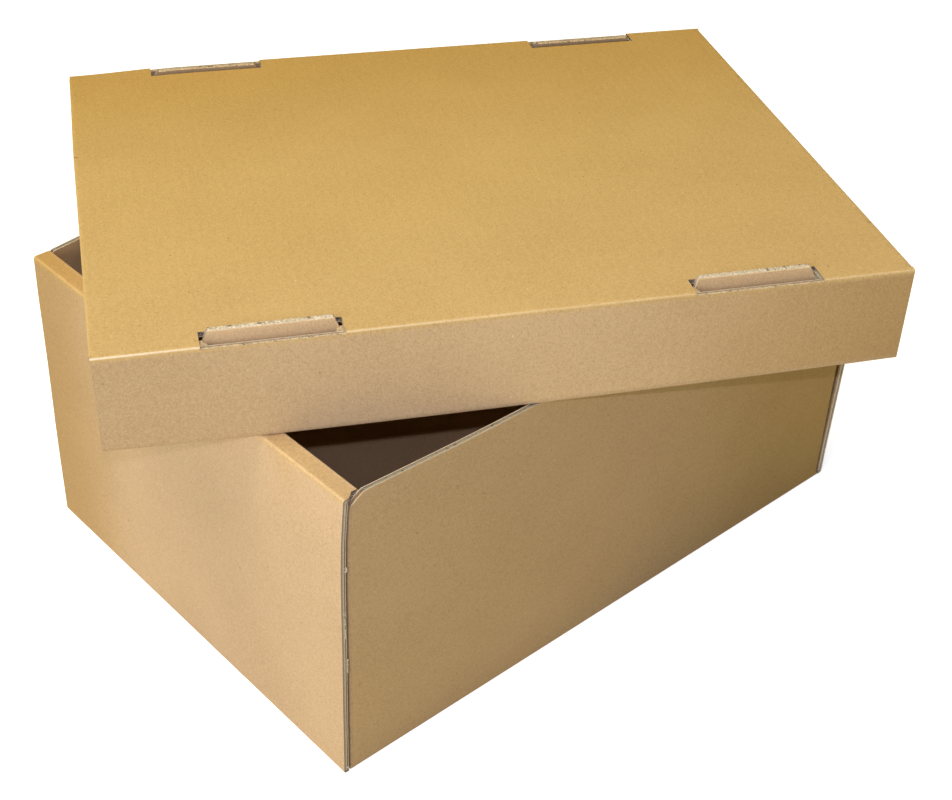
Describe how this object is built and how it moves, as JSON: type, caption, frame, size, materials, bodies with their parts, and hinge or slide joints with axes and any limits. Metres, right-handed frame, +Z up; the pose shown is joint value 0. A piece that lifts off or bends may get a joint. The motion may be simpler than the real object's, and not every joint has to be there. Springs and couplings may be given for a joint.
{
  "type": "two-piece cardboard storage box",
  "caption": "Corrugated storage box in two pieces: a folded tray with rolled ends and a lift-off lid with locking tabs, lying askew on the rim.",
  "frame": {"origin": "middle of the tray's underside, on the surface that it stands on", "axes": "+Z up, +X along the tray's length"},
  "size_m": [0.5576, 0.5168, 0.261],
  "materials": {
    "tray": "matte",
    "lid": "matte"
  },
  "bodies": {
    "root": {"tray": "tray", "lid": "lid"}
  },
  "joints": []
}
